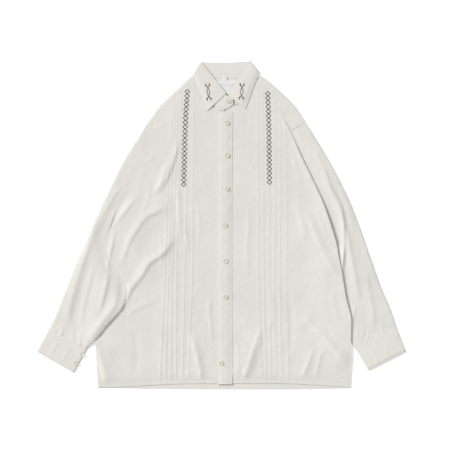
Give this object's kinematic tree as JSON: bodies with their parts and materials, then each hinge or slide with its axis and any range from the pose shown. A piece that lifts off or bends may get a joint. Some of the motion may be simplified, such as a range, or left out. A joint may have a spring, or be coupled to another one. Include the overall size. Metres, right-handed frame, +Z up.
{
  "type": "embroidered long-sleeved shirt",
  "caption": "Loose button-front shirt with pintucks, stitched chains down the front and a pointed collar, laid flat on its back.",
  "frame": {"origin": "on the surface the shirt lies on, under the middle of its bounding box", "axes": "+X across the shirt towards the viewer's right, +Y towards the collar, +Z up from the surface"},
  "size_m": [0.906, 0.8055, 0.0092],
  "materials": {
    "shirt_cloth": "plain-woven, matt",
    "collar_cloth": "plain-woven and fused, matt",
    "label_cloth": "woven tape",
    "button_resin": "polished"
  },
  "bodies": {
    "root": {"back": "shirt_cloth", "yoke": "shirt_cloth", "front_left": "shirt_cloth", "front_right": "shirt_cloth", "placket": "shirt_cloth", "sleeve_left": "shirt_cloth", "sleeve_right": "shirt_cloth", "cuff_left": "collar_cloth", "cuff_right": "collar_cloth", "collar_stand": "collar_cloth", "collar_fall": "collar_cloth", "neck_label": "label_cloth", "size_tab": "label_cloth", "button_1": "button_resin", "button_2": "button_resin", "button_3": "button_resin", "button_4": "button_resin", "button_5": "button_resin", "button_6": "button_resin", "button_7": "button_resin", "button_collar": "button_resin", "button_cuff_1": "button_resin", "button_cuff_2": "button_resin"}
  },
  "joints": []
}
